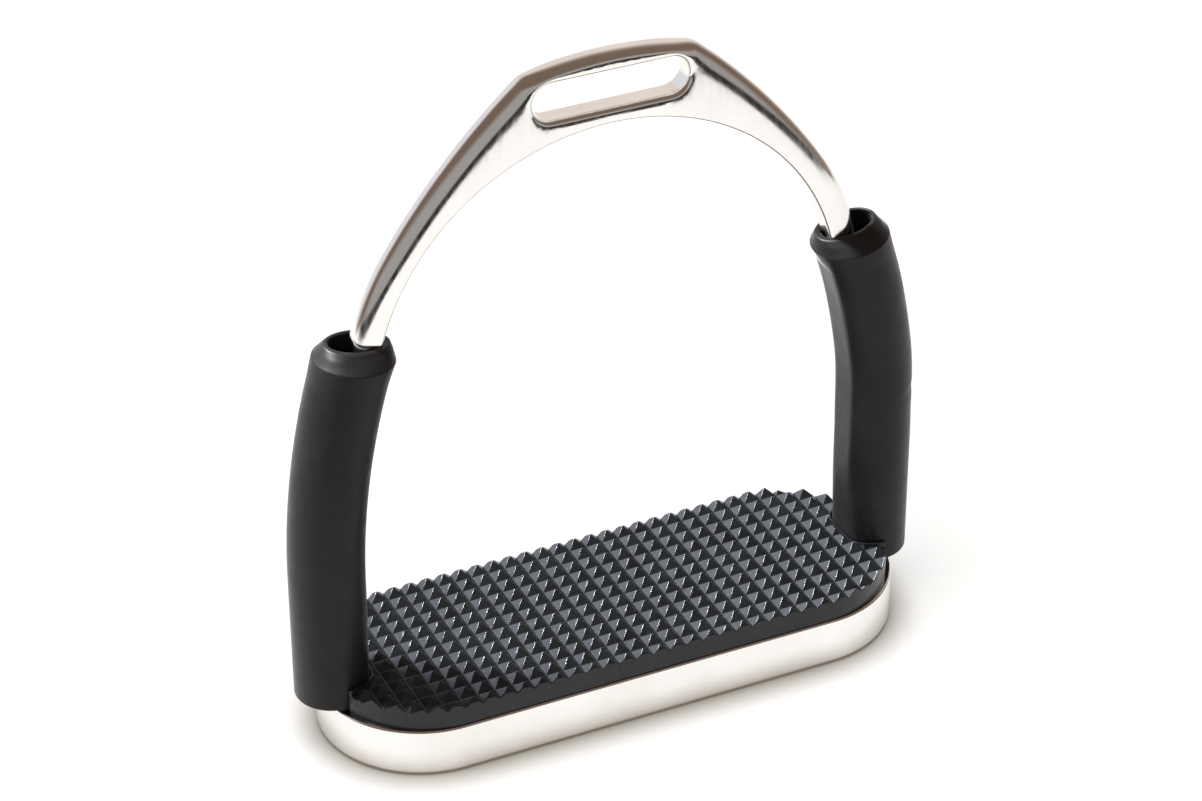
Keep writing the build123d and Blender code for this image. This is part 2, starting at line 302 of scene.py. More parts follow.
def make_arch():
    """Arch as rings of rounding round its outlines, closed by crowned front and back faces."""
    loop, out, reach, rise, slot, slot_out = arch_outlines()
    slot_reach, slot_rise = np.full(len(slot), SLOT_REACH), np.full(len(slot), SLOT_RISE)
    verts, faces = [], []

    def add_rings(points, normals, depth, height, sign):
        """Rings of one rounding, from the side wall to the face; returns the first one's index."""
        firsts = []
        for t in np.linspace(0, ROUND_END, ROUND_STEPS + 1):
            firsts.append(len(verts))
            flat = points - normals * (depth * (1 - cos(t)) / (1 - cos(ROUND_END)))[:, None]
            level = sign * (ARCH_HALF - height * (1 - sin(t) / sin(ROUND_END)))
            verts.extend((p[0], y, p[1]) for p, y in zip(flat, level))
        for a, b in zip(firsts, firsts[1:]):
            faces.extend(band(len(points), a, b))
        return firsts[0]

    flat_loop = loop - out * reach[:, None]
    flat_slot = slot - slot_out * slot_reach[:, None]
    edge = np.vstack([flat_loop, flat_slot])
    xs, zs = np.meshgrid(np.arange(-72, 72, FACE_GRID), np.arange(FOOT_Z, ARCH_TOP, FACE_ROWS))
    xs[::2] += FACE_GRID / 2
    grid = np.stack([xs.ravel(), zs.ravel()], axis=1)
    grid = grid[inside(grid, flat_loop) & ~inside(grid, flat_slot)]
    gap = np.array([np.hypot(*(edge - p).T).min() for p in grid])
    xy, triangles = triangulate([flat_loop, flat_slot], grid[gap > EDGE_GAP])
    gap = np.array([np.hypot(*(edge - p).T).min() for p in xy])
    swell = FACE_CROWN * (1 - np.exp(-gap / CROWN_RUN))
    firsts = {}
    for sign in (-1, 1):
        firsts[sign] = (add_rings(loop, out, reach, rise, sign),
                        add_rings(slot, slot_out, slot_reach, slot_rise, sign))
        first = len(verts)
        verts.extend((p[0], sign * (ARCH_HALF + s), p[1]) for p, s in zip(xy, swell))
        faces += [tuple(first + i for i in t) for t in triangles]
    faces += band(len(loop), firsts[-1][0], firsts[1][0])
    faces += band(len(slot), firsts[-1][1], firsts[1][1])
    return new_object("arch_bow", [Vector(v) * MM for v in verts], faces)


def make_arch_eye(name, side):
    """Flat pivot eye that runs up into the foot of one leg."""
    arc = [(EYE_R * cos(a), UPPER_Z + EYE_R * sin(a))
           for a in np.linspace(radians(140), radians(400), 60)]
    neck = [(y, UPPER_Z + above) for y, above in EYE_NECK]
    profile = arc + neck + [(-y, z) for y, z in neck[::-1]]
    hole = [(EYE_HOLE_R * cos(a), UPPER_Z + EYE_HOLE_R * sin(a))
            for a in np.linspace(0, 2 * pi, 48, endpoint=False)]
    low, high = side * PIVOT_X - EYE_HALF, side * PIVOT_X + EYE_HALF
    return prism(name, profile, [hole], low, high, EYE_EDGE, "X")


# ---------------------------------------------------------------- base
BASE_LENGTH, BASE_WIDTH, BASE_HEIGHT = 148.2, 51.5, 12.6
RECESS_LENGTH, RECESS_WIDTH, FLOOR_TOP = 124.0, 43.5, 5.0
SLOT_COUNT, SLOT_SPACING = 8, 15.0
FLOOR_SLOT = 10.0, 32.0, 2.0           # width, depth and corner radius of a floor slot
FOOT_ROUND, RIM_ROUND = 1.5, 0.6
WALL_STEP, RECESS_STEP = 1.0, 1.5
PLUG_GAP, RIB_LOW = 0.2, 0.6           # slack round the plug and its ribs, and the ribs' low end


def rounded_rectangle(x_mid, width, height, r):
    """Closed outline of one floor slot or rib."""
    loop = []
    for quarter, (sx, sy) in enumerate(((1, 1), (-1, 1), (-1, -1), (1, -1))):
        x, y = x_mid + sx * (width / 2 - r), sy * (height / 2 - r)
        for a in np.linspace(0, pi / 2, 7) + quarter * pi / 2:
            loop.append((x + r * cos(a), y + r * sin(a)))
    return np.array(loop)


def floor_slots(shrink):
    """Outlines of the floor slots, or of the ribs that are smaller by shrink."""
    width, height, r = FLOOR_SLOT
    middles = [(i - (SLOT_COUNT - 1) / 2) * SLOT_SPACING for i in range(SLOT_COUNT)]
    return [rounded_rectangle(x, width - shrink, height - shrink, r) for x in middles]


def make_base():
    """Cast base with a polished wall, rounded rims, recess and slotted floor."""
    outer = stadium_loop(BASE_LENGTH, BASE_WIDTH, WALL_STEP)
    out = loop_normals(outer)
    wall = [(FOOT_ROUND * (1 - sin(t)), FOOT_ROUND * (1 - cos(t)))
            for t in np.linspace(0, pi / 2, 9)]
    wall += [(0.0, z) for z in (2.6, 5.0, 8.0, 10.6)]
    wall += [(RIM_ROUND * (1 - cos(t)), BASE_HEIGHT - RIM_ROUND * (1 - sin(t)))
             for t in np.linspace(0, pi / 2, 7)]
    recess = stadium_loop(RECESS_LENGTH, RECESS_WIDTH, RECESS_STEP)
    verts, faces, firsts = [], [], []
    for inset, z in wall:
        firsts.append(len(verts))
        verts.extend((*(p - n * inset), z) for p, n in zip(outer, out))
    for a, b in zip(firsts, firsts[1:]):
        faces += band(len(outer), a, b)

    def add_face(loops, z):
        xy, triangles = triangulate(loops, [])
        first = len(verts)
        verts.extend((p[0], p[1], z) for p in xy)
        faces.extend(tuple(first + i for i in t) for t in triangles)

    def add_wall(loop, low, high):
        first = len(verts)
        for z in (low, high):
            verts.extend((p[0], p[1], z) for p in loop)
        faces.extend(band(len(loop), first, first + len(loop)))

    slots = floor_slots(0.0)
    add_face([outer - out * wall[-1][0], recess], BASE_HEIGHT)
    add_wall(recess, FLOOR_TOP, BASE_HEIGHT)
    add_face([recess] + slots, FLOOR_TOP)
    add_face([outer - out * wall[0][0]] + slots, 0.0)
    for slot in slots:
        add_wall(slot, 0.0, FLOOR_TOP)
    base = new_object("base_casting", [Vector(v) * MM for v in verts], faces)
    weigh_normals(base, 35)
    return base


def make_plug():
    """Underside of the tread: a plug that fills the recess and ribs that fill the floor slots."""
    outline = stadium_loop(RECESS_LENGTH - PLUG_GAP, RECESS_WIDTH - PLUG_GAP, RECESS_STEP)
    plug = prism("tread_plug", outline, [], FLOOR_TOP + 0.02, BASE_HEIGHT + 0.3, 0.2)
    ribs = [prism("rib", loop, [], RIB_LOW, FLOOR_TOP + 0.6, 0.35)
            for loop in floor_slots(PLUG_GAP)]
    bm = bmesh.new()
    for part in [plug] + ribs:
        bm.from_mesh(part.data)
    bm.to_mesh(plug.data)
    bm.free()
    for rib in ribs:
        bpy.data.objects.remove(rib)
    for poly in plug.data.polygons:
        poly.use_smooth = True
    weigh_normals(plug, 30)
    return plug


# ---------------------------------------------------------------- sleeves
BRANCH_X, SLEEVE_R = 71.0, 9.2
BEND_START, BEND_R = 45.0, 190.0
SLEEVE_LOW, SLEEVE_TOP, LIP_LOW = 13.4, 105.5, 102.1
FLAT_X = 7.5                           # the foot side is pulled flat over the steel inside
BORE_RATIO, BORE_END_RATIO = 0.826, 0.845  # the bore's section over the outer one, and at its end
SEAM_LOW, SEAM_HIGH = 48.495, 48.505   # between the two pivots, where the pieces meet
AROUND = 176
MOUTH_TILT = {-1: 6.5, 1: 12.0}        # degrees, down towards the foot
BOW_OUT = {-1: 0.0, 1: 0.8}            # the right sleeve bulges outwards a little
BOW_START, BOW_END, BOW_FADE = (50, 70), (88, 104), 0.45    # heights, and how much of it goes
FLAT_OUT = {-1: 0.0, 1: 0.75}          # and its flat lies a little further from the middle
MOUTH_R, MOUTH_DEPTH = 6.4, 4.4        # half width and half depth of the mouth
LIP_TOP_R, LIP_TOP_DEPTH = 7.8, 6.0    # and of the rim's outer top edge
MOUTH_OUT = {-1: 0.0, 1: 0.5}          # the right mouth lies a little further out
MOUTH_BACK, LIP_TOP_BACK = 0.9, 0.5    # the steel stands near the front of the mouth
RIM_INSET = LIP_TOP_R - MOUTH_R
FOOT_CORNER, BRANCH_CORNER = 1.65, {-1: 0.75, 1: 0.45}  # softness of the flat's two edges
BORE_CORNER = 1.2
CREASE_Z, CREASE_DEPTH, CREASE_WIDTH = 60.0, 0.2, 1.2   # on the outside of the right sleeve
# Height, scale and squeeze of the lip's rings, from its widest edge up the chamfer.
LIP_EDGE = (LIP_LOW - 0.05, 1.022), (LIP_LOW + 0.12, 1.018), (LIP_LOW + 0.3, 1.004)
LIP_CHAMFER = (102.7, 0.982, 0.12), (103.3, 0.949, 0.45), (103.9, 0.915, 0.80), (104.5, 0.882, 1.20)
# Height and inset of the rim's rings, over its round top and down into the mouth.
RIM = ((105.1, 0.0), (105.32, 0.12), (105.46, 0.32), (105.5, 0.55), (105.5, 0.85), (105.44, 1.10),
       (105.28, 1.28), (105.05, 1.37), (104.6, 1.4), (102.5, 1.4), (100.8, 1.4), (100.3, 1.3),
       (100.1, 1.0))


def section_radii(angles, corner, flat_x=FLAT_X):
    """Radius of a right sleeve's section: round, with a flat on the foot side."""
    facing = -np.cos(angles)
    flat = np.where(facing > 0.05, flat_x / np.maximum(facing, 0.05), 99.0)
    h = np.clip(0.5 + 0.5 * (flat - SLEEVE_R) / corner, 0, 1)
    return flat * (1 - h) + SLEEVE_R * h - corner * h * (1 - h)


def sleeve_ring(side, z, radii, angles):
    """One ring of points round a sleeve's bent middle line at a height."""
    above = max(0.0, z - BEND_START)
    lean = asin(above / BEND_R)
    tilt = radians(MOUTH_TILT[side]) * above / (SLEEVE_TOP - BEND_START)
    x = BRANCH_X - BEND_R * (1 - cos(lean))
    fade = 1 - BOW_FADE * smoothstep(*BOW_END, z)
    x += BOW_OUT[side] * smoothstep(*BOW_START, z) * fade
    across = radii * np.cos(angles) / cos(lean - tilt)
    xs = side * (x + across * cos(tilt))
    return np.stack([xs, radii * np.sin(angles), z + across * sin(tilt)], axis=1)


def make_sleeve(side):
    """Rubber sleeve of one branch, as a lower and an upper piece that meet between the pivots."""
    angles = np.linspace(0, 2 * pi, AROUND, endpoint=False)

    def skin_radii(z):
        """Section of the outside, whose flat is softer near the tread."""
        low = 1 - smoothstep(18, 40, z)
        corner = BRANCH_CORNER[side] * (1 - low) + FOOT_CORNER * low
        return section_radii(angles, corner, FLAT_X + FLAT_OUT[side] * (1 - low))

    def skin(z, scale=1.0):
        """Ring on the outside of the plain part."""
        radii = skin_radii(z) * scale
        if side > 0:
            above = z - CREASE_Z - 1.5 * np.sin(angles)
            outside = np.clip(np.cos(angles), 0, 1)
            radii -= CREASE_DEPTH * np.exp(-(above / CREASE_WIDTH) ** 2) * outside
        return sleeve_ring(side, z, radii, angles)

    def bore(z, ratio=BORE_RATIO):
        """Ring on the inside of the plain part."""
        return sleeve_ring(side, z, section_radii(angles, BORE_CORNER) * ratio, angles)

    def rim_ring(z, inset):
        """Ring of the rim, inset from its outer top edge; it narrows front to back on the way."""
        share = inset / RIM_INSET
        depth = MOUTH_DEPTH + (LIP_TOP_DEPTH - MOUTH_DEPTH) * (1 - share)
        width = LIP_TOP_R - inset
        radii = width * depth / np.hypot(depth * np.cos(angles), width * np.sin(angles))
        ring = sleeve_ring(side, z, radii, angles)
        ring[:, 0] += side * MOUTH_OUT[side] * share
        ring[:, 1] += LIP_TOP_BACK + (MOUTH_BACK - LIP_TOP_BACK) * share
        return ring

    def lip_ring(z, scale, share, squeeze=0.0):
        """Ring on the lip's chamfer, which turns from the plain section into the rim's outline."""
        radii = skin_radii(z) * (1 - share) * scale + share * SLEEVE_R * scale
        front = np.sin(angles) ** 2 * (1 - 0.5 * np.sin(angles))
        return sleeve_ring(side, z, radii - squeeze * front, angles)

    foot = [skin(SLEEVE_LOW + 0.5 * (1 - cos(t)), 1 - 0.055 * (1 - sin(t)))
            for t in np.linspace(0, pi / 2, 6)]
    lower = foot + [skin(z) for z in np.linspace(14.4, SEAM_LOW, 50)]
    lower += [bore(z) for z in np.linspace(SEAM_LOW, SLEEVE_LOW + 0.3, 24)]
    lower += [bore(SLEEVE_LOW, BORE_END_RATIO)]

    upper = [skin(z) for z in np.linspace(SEAM_HIGH, 97.0, 70)]
    for z in np.linspace(97.6, LIP_LOW - 0.2, 8):
        share = smoothstep(96.5, LIP_LOW, z)
        upper.append(lip_ring(z, 1.0 + 0.02 * share, 0.9 * share))
    upper += [lip_ring(z, scale, 0.95) for z, scale in LIP_EDGE]
    upper += [lip_ring(z, scale, 1.0, squeeze) for z, scale, squeeze in LIP_CHAMFER]
    upper += [rim_ring(z, inset) for z, inset in RIM]
    upper += [bore(z) for z in np.linspace(99.6, SEAM_HIGH, 40)]

    pieces = []
    for part, rings in (("lower", lower), ("upper", upper)):
        faces = []
        for i in range(len(rings)):
            faces += band(AROUND, i * AROUND, (i + 1) % len(rings) * AROUND)
        name = ("right" if side > 0 else "left") + "_sleeve_" + part
        piece = new_object(name, np.vstack(rings) * MM, faces)
        piece.data.set_sharp_from_angle(angle=radians(50))
        pieces.append(piece)
    return pieces


# ---------------------------------------------------------------- tread
TREAD_LENGTH, TREAD_WIDTH, VALLEY_Z = 145.2, 50.2, 17.4
PITCH, STUD_HEIGHT = 4.36, 1.7
GROOVE_HALF, TOP_HALF = 0.10, 0.15     # flat groove floor and flat stud top, as half widths
SLOPE = STUD_HEIGHT / (PITCH / 2 - GROOVE_HALF - TOP_HALF)
EDGE_ROUND, NOTCH_GAP = 0.3, 0.4
COLLAR_WIDTH, COLLAR_RISE = 0.6, 1.75
COLLAR_FADE = -0.12, -0.035, 0.05      # where the collar's slope starts, turns and ends
NOTCH_CORNER, NOTCH_ROUND, RIDGE_SOFT = 1.6, 0.2, 0.13


def notch_radius(x, y):
    """Distance from the branch's middle and the notch's radius in that direction."""
    dx, dy = np.abs(x) - BRANCH_X, y
    return np.hypot(dx, dy), section_radii(np.arctan2(dy, dx), NOTCH_CORNER) + NOTCH_GAP


def outline_depth(x, y):
    """How far points lie inside the tread's plain outline."""
    r, half = TREAD_WIDTH / 2, (TREAD_LENGTH - TREAD_WIDTH) / 2
    return r - np.hypot(np.maximum(np.abs(x) - half, 0), y)


def edge_drop(depth, r):
    """Fall of a rounded edge at a depth inside it."""
    short = np.clip(r - depth, 0, r)
    return r - np.sqrt(np.maximum(r * r - short * short, 0))


def tread_height(x, y):
    """Height of the studded surface, its collars and its rounded edges."""
    reach = [PITCH / 2 - np.abs((v / PITCH) % 1.0 - 0.5) * PITCH for v in (x, y)]
    u, v = (np.maximum(d - GROOVE_HALF, 0) * SLOPE for d in reach)
    h = np.clip(0.5 + 0.5 * (v - u) / RIDGE_SOFT, 0, 1)
    stud = np.clip(v * (1 - h) + u * h - RIDGE_SOFT * h * (1 - h), 0, STUD_HEIGHT)
    far, radius = notch_radius(x, y)
    beside = far - radius
    rise = 1 - smoothstep(COLLAR_WIDTH + COLLAR_FADE[0], COLLAR_WIDTH + COLLAR_FADE[-1], beside)
    top = stud * (1 - rise) + COLLAR_RISE * rise
    top = top - edge_drop(outline_depth(x, y), EDGE_ROUND) - edge_drop(beside, NOTCH_ROUND)
    return VALLEY_Z + top


def notch_curve(offset, limit):
    """Back half of the right notch's edge, moved inwards by offset.

    It runs from the foot side to where the tread's plain outline is nearer than limit.
    """
    samples, spacing = 1600, 0.5
    angles = np.linspace(pi, 0, samples)
    radii = section_radii(angles, NOTCH_CORNER) + NOTCH_GAP + offset
    curve = np.stack([BRANCH_X + radii * np.cos(angles), radii * np.sin(angles)], axis=1)
    last = int(np.argmax(outline_depth(curve[:, 0], curve[:, 1]) < limit))
    around = last / samples * pi * (SLEEVE_R + NOTCH_GAP)
    picks = np.linspace(0, last, int(around / spacing)).astype(int)
    return curve[picks]


def tread_outline(inset):
    """Outline of the tread with its two notches, moved inwards by inset."""
    notch = notch_curve(inset, inset)
    half, r = (TREAD_LENGTH - TREAD_WIDTH) / 2, TREAD_WIDTH / 2 - inset
    start = np.arctan2(notch[-1, 1], notch[-1, 0] - half)
    end_arc = [(half + r * cos(a), r * sin(a)) for a in np.linspace(start, pi / 2, 62)[1:]]
    side = [(x, r) for x in np.linspace(half, 0, 96)[1:]]
    quarter = np.vstack([notch, end_arc, side])
    back = np.vstack([quarter, (quarter * [-1, 1])[::-1][1:]])
    return np.vstack([back, (-back)[1:-1]])


def stud_lines():
    """Edges of all the studs and of the narrow rounded ridges between their faces."""
    a, t, w = PITCH / 2 - GROOVE_HALF, TOP_HALF, TOP_HALF       # foot, top and ridge
    corner = [((a, a), (t, t)), ((a, a - w), (t, 0)), ((a - w, a), (0, t)),
              ((a, a), (a, a - w)), ((a, a), (a - w, a)), ((a, a - w), (a, w - a)),
              ((t, t), (t, 0)), ((t, t), (0, t))]
    cell = []
    for quarter in range(4):
        turned = Matrix.Rotation(quarter * pi / 2, 2)
        cell += [(turned @ Vector(p), turned @ Vector(q)) for p, q in corner]
    cell = np.array([[tuple(p), tuple(q)] for p, q in cell])
    columns, rows = int(TREAD_LENGTH / 2 / PITCH) + 1, int(TREAD_WIDTH / 2 / PITCH) + 1
    lines = []
    for i in range(-columns, columns):
        for j in range(-rows, rows):
            lines.append(cell + np.array([(i + 0.5) * PITCH, (j + 0.5) * PITCH]))
    lines = np.vstack(lines)
    ends = lines.reshape(-1, 2)
    far, radius = notch_radius(ends[:, 0], ends[:, 1])
    used = (outline_depth(ends[:, 0], ends[:, 1]) > 0) & (far - radius > COLLAR_WIDTH)
    return lines[used.reshape(-1, 2).any(axis=1)]


def make_tread():
    """Studded rubber pad: pyramids cut by the outline, smooth side wall, sleeve collars."""
    outline = tread_outline(0.0)
    segments = [tuple(line) for line in stud_lines()]
    for inset in (0.04, 0.11, 0.2, EDGE_ROUND):
        loop = tread_outline(inset)
        segments += list(zip(loop, np.roll(loop, -1, axis=0)))
    for fade in COLLAR_FADE:
        curve = notch_curve(COLLAR_WIDTH + fade, 0.0)
        curve = np.vstack([(curve * [1, -1])[::-1][:-1], curve])
        for side in (-1, 1):
            segments += list(zip(curve[:-1] * [side, 1], curve[1:] * [side, 1]))
    xy, triangles = triangulate([outline], [], segments)
    heights = tread_height(xy[:, 0], xy[:, 1])
    used = np.unique(triangles)
    index = {old: new for new, old in enumerate(used)}
    verts = [Vector((xy[i][0], xy[i][1], heights[i])) * MM for i in used]
    pad = new_object("tread_studs", verts, [tuple(index[i] for i in t) for t in triangles])
    bm = bmesh.new()
    bm.from_mesh(pad.data)
    rim = [e for e in bm.edges if e.is_boundary]
    result = bmesh.ops.extrude_edge_only(bm, edges=rim)["geom"]
    for vert in (g for g in result if isinstance(g, bmesh.types.BMVert)):
        vert.co.z = (BASE_HEIGHT + 0.02) * MM
    bottom = [e for e in bm.edges if e.is_boundary]
    bmesh.ops.triangulate(bm, faces=bmesh.ops.contextual_create(bm, geom=bottom)["faces"])
    bmesh.ops.recalc_face_normals(bm, faces=bm.faces)
    bm.to_mesh(pad.data)
    bm.free()
    for poly in pad.data.polygons:
        poly.use_smooth = True
    weigh_normals(pad, 32)
    return pad


# ---------------------------------------------------------------- materials
class Nodes:
    """Short-hand for building one procedural material in object coordinates."""

    def __init__(self, name):
        self.material = bpy.data.materials.new(name)
        self.material.use_nodes = True
        self.tree = self.material.node_tree
        self.shader = self.tree.nodes["Principled BSDF"]
        self.place = self.add("ShaderNodeTexCoord").outputs["Object"]

    def add(self, kind, **settings):
        """New node; settings are its input sockets' values or its own properties."""
        node = self.tree.nodes.new(kind)
        for key, value in settings.items():
            if key in node.inputs:
                node.inputs[key].default_value = value
            else:
                setattr(node, key, value)
        return node

    def link(self, source, target):
        self.tree.links.new(source, target)

    def noise(self, scale, detail=3.0, roughness=0.5, stretch=None):
        node = self.add("ShaderNodeTexNoise", Scale=scale, Detail=detail, Roughness=roughness)
        source = self.place
        if stretch:
            mapping = self.add("ShaderNodeMapping", Scale=stretch)
            self.link(source, mapping.inputs["Vector"])
            source = mapping.outputs["Vector"]
        self.link(source, node.inputs["Vector"])
        return node.outputs["Fac"]

    def ramp(self, value, stops):
        """Colour ramp; each stop is a position and a colour or a grey level."""
        node = self.add("ShaderNodeValToRGB")
        elements = node.color_ramp.elements
        while len(elements) < len(stops):
            elements.new(0.5)
        for element, (position, colour) in zip(elements, stops):
            element.position = position
            rgb = (colour,) * 3 if isinstance(colour, (int, float)) else colour
            element.color = (*rgb, 1.0)
        self.link(value, node.inputs["Fac"])
        return node.outputs["Color"]

    def mix(self, factor, a, b, blend="MIX"):
        node = self.add("ShaderNodeMix", data_type="RGBA", blend_type=blend)
        if isinstance(factor, float):
            node.inputs[0].default_value = factor
        else:
            self.link(factor, node.inputs[0])
        for socket, value in ((node.inputs[6], a), (node.inputs[7], b)):
            if isinstance(value, tuple):
                socket.default_value = (*value, 1.0)
            else:
                self.link(value, socket)
        return node.outputs[2]

    def bump(self, *layers):
        """Stacked bump layers, each (height, strength, distance)."""
        normal = None
        for height, strength, distance in layers:
            node = self.add("ShaderNodeBump", Strength=strength, Distance=distance)
            self.link(height, node.inputs["Height"])
            if normal is not None:
                self.link(normal, node.inputs["Normal"])
            normal = node.outputs["Normal"]
        self.link(normal, self.shader.inputs["Normal"])

    def set(self, **values):
        """Constants on the shader's own sockets."""
        for key, value in values.items():
            self.shader.inputs[key.replace("_", " ")].default_value = value


def polished_steel():
    """Mirror-polished stainless steel with fine buffing lines and a barely uneven surface."""
    n = Nodes("polished_steel")
    cloud = n.noise(60, 4, 0.55)
    buff = n.noise(900, 2, 0.6, (1, 1, 0.12))
    tone = n.ramp(cloud, [(0.32, (0.85, 0.825, 0.80)), (0.68, (0.93, 0.913, 0.892))])
    n.link(tone, n.shader.inputs["Base Color"])
    n.link(n.ramp(buff, [(0.3, 0.09), (0.7, 0.15)]), n.shader.inputs["Roughness"])
    n.bump((n.noise(45, 2, 0.4), 0.045, 0.0012), (buff, 0.03, 0.00008))
    n.set(Metallic=1.0)
    return n.material


def hardware_steel(name, tint, smooth, rough):
    """Plain machined steel of the small parts, with a turned grain and faint stains."""
    n = Nodes(name)
    grain = n.noise(1400, 3, 0.6, (1, 0.25, 1))
    stain = n.noise(220, 4, 0.6)
    dark = tuple(c * 0.82 for c in tint)
    n.link(n.ramp(stain, [(0.35, dark), (0.65, tint)]), n.shader.inputs["Base Color"])
    n.link(n.ramp(grain, [(0.3, smooth), (0.7, rough)]), n.shader.inputs["Roughness"])
    n.bump((grain, 0.25, 0.00005))
    n.set(Metallic=1.0)
    return n.material


def sleeve_rubber():
    """Soft matte black rubber with moulding grain and a few pale dust specks."""
    n = Nodes("sleeve_rubber")
    tone = n.ramp(n.noise(70, 4, 0.6),
                  [(0.3, (0.005, 0.0045, 0.0045)), (0.7, (0.011, 0.0098, 0.0092))])
    specks = n.ramp(n.noise(1500, 2, 0.5), [(0.74, 0.0), (0.80, 0.55)])
    n.link(n.mix(specks, tone, (0.06, 0.057, 0.054)), n.shader.inputs["Base Color"])
    n.link(n.ramp(n.noise(300, 3, 0.6), [(0.3, 0.36), (0.7, 0.46)]), n.shader.inputs["Roughness"])
    n.bump((n.noise(110, 3, 0.5), 0.10, 0.0006), (n.noise(2600, 2, 0.6), 0.22, 0.00006))
    n.set(Specular_IOR_Level=0.22, Sheen_Weight=0.20, Sheen_Roughness=0.25,
          Sheen_Tint=(1.0, 0.95, 0.88, 1.0))
    return n.material


def tread_rubber():
    """Firm moulded rubber of the tread, glossier than the sleeves, with dust in the grain."""
    n = Nodes("tread_rubber")
    tone = n.ramp(n.noise(130, 4, 0.6),
                  [(0.3, (0.005, 0.0055, 0.0068)), (0.7, (0.011, 0.012, 0.0145))])
    dust = n.ramp(n.noise(1900, 2, 0.5), [(0.70, 0.0), (0.80, 0.5)])
    n.link(n.mix(dust, tone, (0.06, 0.06, 0.065)), n.shader.inputs["Base Color"])
    n.link(n.ramp(n.noise(420, 3, 0.6), [(0.3, 0.24), (0.7, 0.36)]), n.shader.inputs["Roughness"])
    n.bump((n.noise(500, 3, 0.5), 0.10, 0.00012), (n.noise(3000, 2, 0.6), 0.15, 0.00003))
    n.set(Specular_IOR_Level=0.36)
    return n.material


def studio_floor():
    """White paper that glows faintly to read as pure white, with a painted contact shadow where
    things touch it.
    """
    n = Nodes("studio_floor")
    # Painted contact shadow: an occlusion ramp darkens the paper's colour and its glow where things
    # touch it.
    contact = n.add("ShaderNodeAmbientOcclusion", samples=12, Distance=0.012)
    painted_contact_shadow = n.ramp(contact.outputs["AO"], [(0.42, (0.20, 0.18, 0.14)), (0.72, (0.60, 0.59, 0.57)),
                                           (0.90, (0.80, 0.795, 0.79))])
    grain = n.ramp(n.noise(30, 3, 0.5), [(0.3, 0.985), (0.7, 1.0)])
    colour = n.mix(1.0, painted_contact_shadow, grain, "MULTIPLY")
    n.link(colour, n.shader.inputs["Base Color"])
    n.link(colour, n.shader.inputs["Emission Color"])
    n.set(Roughness=0.9, Specular_IOR_Level=0.0, Emission_Strength=0.56)
    return n.material


MATERIALS = {
    "polished_steel": polished_steel(),
    "link_steel": hardware_steel("link_steel", (0.62, 0.62, 0.61), 0.28, 0.42),
    "rivet_steel": hardware_steel("rivet_steel", (0.70, 0.70, 0.69), 0.20, 0.32),
    "washer_steel": hardware_steel("washer_steel", (0.66, 0.66, 0.65), 0.24, 0.36),
    "sleeve_rubber": sleeve_rubber(),
    "tread_rubber": tread_rubber(),
}


def finish_piece(piece, slot, body, *nodes):
    """Gives a piece its material, its body and the CAD nodes that it stands for."""
    piece.data.materials.append(MATERIALS[slot])
    if body:
        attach(piece, body)
    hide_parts(*nodes)


# ---------------------------------------------------------------- assembly
FINISHES = {"post": "link_steel", "inner_link": "link_steel", "outer_link": "link_steel",
            "lower_rivet": "rivet_steel", "upper_rivet": "rivet_steel",
            "lower_washers": "washer_steel", "upper_washers": "washer_steel"}

finish_piece(make_arch(), "polished_steel", "arch", "arch")
for label, side in (("left", -1), ("right", 1)):
    finish_piece(make_arch_eye(label + "_arch_eye", side), "polished_steel", "arch", "arch")
finish_piece(make_base(), "polished_steel", "base", "base_frame")
finish_piece(make_tread(), "tread_rubber", "base", "tread_pad")
finish_piece(make_plug(), "tread_rubber", "base", "tread_pad")

for label, side in (("left", -1), ("right", 1)):
    lower, upper = make_sleeve(side)
    for piece in (lower, upper):
        finish_piece(piece, "sleeve_rubber", None, label + "_sleeve")
    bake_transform(lower)
    # Both links turn together, and only the left one is hinged to the arch.
    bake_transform(upper)

for label in ("left", "right"):
    for part, slot in FINISHES.items():
        node = bpy.data.objects[label + "_" + part]
        node.data.materials.clear()
        node.data.materials.append(MATERIALS[slot])


# ---------------------------------------------------------------- studio
PAPER_FRONT, LIGHT_DISTANCE = -0.31, 1.2


def flat_sheet(name, left, right, front, rear):
    """Rectangle on the ground."""
    verts = [(left, front, 0), (right, front, 0), (right, rear, 0), (left, rear, 0)]
    return new_object(name, verts, [(0, 1, 2, 3)])


def make_floor():
    """Sheet of white paper under the base; past its edges the polished steel sees a dim room."""
    floor = flat_sheet("floor", -1.00, 0.70, PAPER_FRONT, 1.60)
    floor.data.materials.append(studio_floor())


def make_card():
    """Dark card in front of the paper, seen only in reflections, for the steel's dark lines."""
    card = flat_sheet("card", -1.0, 1.0, -0.60, PAPER_FRONT)
    n = Nodes("card")
    n.link(n.ramp(n.noise(20), [(0.3, 0.020), (0.7, 0.030)]), n.shader.inputs["Base Color"])
    n.set(Roughness=0.9, Specular_IOR_Level=0.0)
    card.data.materials.append(n.material)
    card.visible_camera = card.visible_diffuse = card.visible_shadow = False


